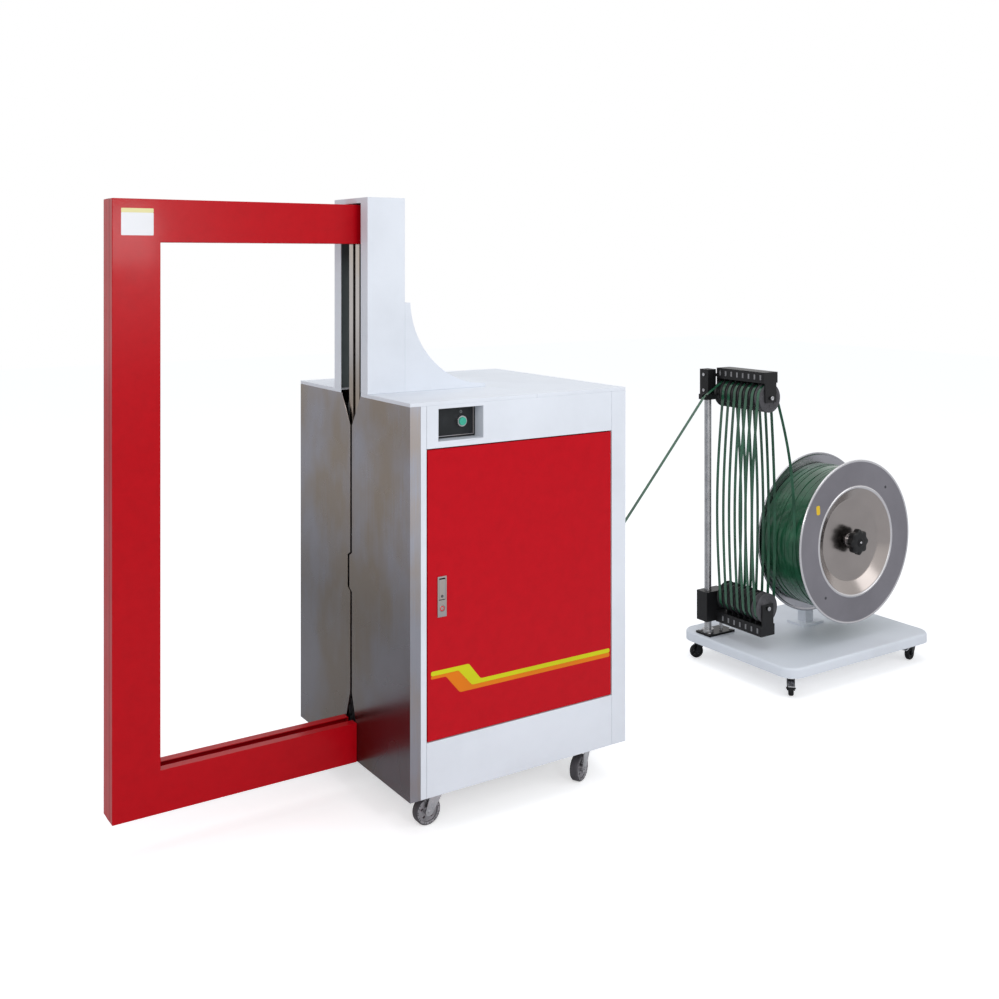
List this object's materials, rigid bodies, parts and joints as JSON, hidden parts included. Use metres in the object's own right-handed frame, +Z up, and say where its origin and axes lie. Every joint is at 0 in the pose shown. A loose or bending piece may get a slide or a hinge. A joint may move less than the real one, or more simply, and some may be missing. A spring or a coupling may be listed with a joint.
{
  "type": "semi automatic strapping machine",
  "caption": "Strapping machine: a wheeled cabinet with a red strap arch and a door, fed with plastic strap from a reel and roller accumulator on its own trolley.",
  "frame": {"origin": "ground level, at the middle of the whole object's box in X and Y", "axes": "+X from the arch through the cabinet to the strap dispenser, -Y is the door side, +Z up"},
  "size_m": [2.987, 0.695, 1.675],
  "materials": {
    "white_paint": "satin powder coat",
    "red_paint": "glossy enamel",
    "stainless": "brushed",
    "flange_steel": "turned and lightly polished",
    "zinc": "bright zinc plated",
    "dark_steel": "dark oiled",
    "motor_cast": "painted casting",
    "grey_enamel": "matt enamel",
    "black_metal": "black powder coat",
    "black_plastic": "moulded",
    "button_green": "smooth",
    "green_strap": "embossed polypropylene",
    "grey_wheel": "moulded tread on a metal disc",
    "black_rubber": "moulded"
  },
  "bodies": {
    "root": {"base_frame": "zinc", "steel_panel_near": "stainless", "steel_panel_far": "stainless", "left_stile": "white_paint", "right_post": "white_paint", "control_fascia": "white_paint", "kick_panel": "white_paint", "rear_cover": "white_paint", "right_cover": "white_paint", "cabinet_lid": "white_paint", "service_lid": "white_paint", "tower_cover": "white_paint", "flare_cover": "white_paint", "guide_rails": "stainless", "arch_front_shell": "red_paint", "arch_back_shell": "red_paint", "arch_track": "dark_steel", "control_panel": "black_plastic", "sealing_head": "dark_steel", "drive_motor": "motor_cast", "electric_box": "grey_enamel", "strap_chute": "black_plastic", "door_hinges": "zinc", "trolley_plate": "white_paint", "pole": "zinc", "upper_frame": "black_metal", "strap_upper": "green_strap", "strap_runs": "green_strap", "reel_post": "zinc"},
    "door": {"door_panel": "red_paint", "lock_plate": "stainless"},
    "lock_handle": {"lock_handle": "stainless"},
    "lock_button": {"lock_button": "stainless"},
    "start_button": {"start_button": "button_green"},
    "feed_wheel": {"feed_wheel": "dark_steel"},
    "pinch_wheel": {"pinch_wheel": "dark_steel"},
    "dancer": {"dancer_frame": "black_metal", "strap_lower": "green_strap"},
    "lower_rollers": {"lower_rollers": "black_plastic"},
    "upper_rollers": {"upper_rollers": "black_plastic"},
    "reel": {"reel_back": "flange_steel", "strap_coil": "green_strap", "reel_front": "flange_steel"},
    "star_knob": {"star_knob": "black_plastic"},
    "main_swivel_1": {"main_fork_1": "zinc"},
    "main_roll_1": {"main_wheel_1": "grey_wheel"},
    "main_swivel_2": {"main_fork_2": "zinc"},
    "main_roll_2": {"main_wheel_2": "grey_wheel"},
    "main_swivel_3": {"main_fork_3": "zinc"},
    "main_roll_3": {"main_wheel_3": "grey_wheel"},
    "main_swivel_4": {"main_fork_4": "zinc"},
    "main_roll_4": {"main_wheel_4": "grey_wheel"},
    "trolley_swivel_1": {"trolley_fork_1": "zinc"},
    "trolley_roll_1": {"trolley_wheel_1": "black_rubber"},
    "trolley_swivel_2": {"trolley_fork_2": "zinc"},
    "trolley_roll_2": {"trolley_wheel_2": "black_rubber"},
    "trolley_swivel_3": {"trolley_fork_3": "zinc"},
    "trolley_roll_3": {"trolley_wheel_3": "black_rubber"},
    "trolley_swivel_4": {"trolley_fork_4": "zinc"},
    "trolley_roll_4": {"trolley_wheel_4": "black_rubber"}
  },
  "joints": [
    {"name": "door_hinge", "type": "hinge", "parent": "root", "child": "door", "pos_m": [-0.1735, -0.337, 0.628], "axis": [0, 0, 1], "range_deg": [0, 110]},
    {"name": "lock_handle_turn", "type": "hinge", "parent": "door", "child": "lock_handle", "pos_m": [-0.727, -0.342, 0.661], "axis": [-1, 0, 0], "range_deg": [0, 50]},
    {"name": "lock_button_push", "type": "slide", "parent": "door", "child": "lock_button", "axis": [0, 1, 0], "range_m": [0, 0.004], "stiffness_N_per_m": 300, "springref_m": -0.002},
    {"name": "start_button_push", "type": "slide", "parent": "root", "child": "start_button", "axis": [0, 1, 0], "range_m": [0, 0.004], "stiffness_N_per_m": 300, "springref_m": -0.002},
    {"name": "feed_wheel_turn", "type": "hinge", "parent": "root", "child": "feed_wheel", "pos_m": [-0.5315, 0, 0.3056], "axis": [0, 1, 0], "continuous": true},
    {"name": "pinch_wheel_turn", "type": "hinge", "parent": "root", "child": "pinch_wheel", "pos_m": [-0.5315, 0, 0.3764], "axis": [0, 1, 0], "continuous": true},
    {"name": "dancer_slide", "type": "slide", "parent": "root", "child": "dancer", "axis": [0, 0, 1], "range_m": [0, 0.6], "deforming": ["strap_runs"]},
    {"name": "lower_rollers_turn", "type": "hinge", "parent": "dancer", "child": "lower_rollers", "pos_m": [0.8185, 0.08, 0.254], "axis": [0, 1, 0], "continuous": true},
    {"name": "upper_rollers_turn", "type": "hinge", "parent": "root", "child": "upper_rollers", "pos_m": [0.8185, 0.08, 1.008], "axis": [0, 1, 0], "continuous": true},
    {"name": "reel_turn", "type": "hinge", "parent": "root", "child": "reel", "pos_m": [1.179, 0, 0.465], "axis": [0, 1, 0], "continuous": true},
    {"name": "star_knob_turn", "type": "hinge", "parent": "reel", "child": "star_knob", "pos_m": [1.179, -0.122, 0.465], "axis": [0, 1, 0], "continuous": true},
    {"name": "main_swivel_1", "type": "hinge", "parent": "root", "child": "main_swivel_1", "pos_m": [-0.7035, -0.275, 0.096], "axis": [0, 0, 1], "continuous": true},
    {"name": "main_roll_1", "type": "hinge", "parent": "main_swivel_1", "child": "main_roll_1", "pos_m": [-0.7335, -0.275, 0.0375], "axis": [0, 1, 0], "continuous": true},
    {"name": "main_swivel_2", "type": "hinge", "parent": "root", "child": "main_swivel_2", "pos_m": [-0.2095, -0.278, 0.096], "axis": [0, 0, 1], "continuous": true},
    {"name": "main_roll_2", "type": "hinge", "parent": "main_swivel_2", "child": "main_roll_2", "pos_m": [-0.23623, -0.29162, 0.0375], "axis": [-0.454, 0.891, 0], "continuous": true},
    {"name": "main_swivel_3", "type": "hinge", "parent": "root", "child": "main_swivel_3", "pos_m": [-0.7035, 0.275, 0.096], "axis": [0, 0, 1], "continuous": true},
    {"name": "main_roll_3", "type": "hinge", "parent": "main_swivel_3", "child": "main_roll_3", "pos_m": [-0.73261, 0.28226, 0.0375], "axis": [0.2419, 0.9703, 0], "continuous": true},
    {"name": "main_swivel_4", "type": "hinge", "parent": "root", "child": "main_swivel_4", "pos_m": [-0.2095, 0.278, 0.096], "axis": [0, 0, 1], "continuous": true},
    {"name": "main_roll_4", "type": "hinge", "parent": "main_swivel_4", "child": "main_roll_4", "pos_m": [-0.23913, 0.27331, 0.0375], "axis": [-0.1564, 0.9877, 0], "continuous": true},
    {"name": "trolley_swivel_1", "type": "hinge", "parent": "root", "child": "trolley_swivel_1", "pos_m": [0.7845, -0.159, 0.067], "axis": [0, 0, 1], "continuous": true},
    {"name": "trolley_roll_1", "type": "hinge", "parent": "trolley_swivel_1", "child": "trolley_roll_1", "pos_m": [0.77177, -0.17173, 0.025], "axis": [-0.7071, 0.7071, 0], "continuous": true},
    {"name": "trolley_swivel_2", "type": "hinge", "parent": "root", "child": "trolley_swivel_2", "pos_m": [0.7845, 0.289, 0.067], "axis": [0, 0, 1], "continuous": true},
    {"name": "trolley_roll_2", "type": "hinge", "parent": "trolley_swivel_2", "child": "trolley_roll_2", "pos_m": [0.76759, 0.29516, 0.025], "axis": [0.342, 0.9397, 0], "continuous": true},
    {"name": "trolley_swivel_3", "type": "hinge", "parent": "root", "child": "trolley_swivel_3", "pos_m": [1.4375, -0.159, 0.067], "axis": [0, 0, 1], "continuous": true},
    {"name": "trolley_roll_3", "type": "hinge", "parent": "trolley_swivel_3", "child": "trolley_roll_3", "pos_m": [1.41989, -0.16274, 0.025], "axis": [-0.2079, 0.9781, 0], "continuous": true},
    {"name": "trolley_swivel_4", "type": "hinge", "parent": "root", "child": "trolley_swivel_4", "pos_m": [1.4375, 0.289, 0.067], "axis": [0, 0, 1], "continuous": true},
    {"name": "trolley_roll_4", "type": "hinge", "parent": "trolley_swivel_4", "child": "trolley_roll_4", "pos_m": [1.45381, 0.28139, 0.025], "axis": [-0.4226, -0.9063, 0], "continuous": true}
  ],
  "couplings": [
    {"joint": "pinch_wheel_turn", "follows": "feed_wheel_turn", "ratio": -1.3333}
  ]
}
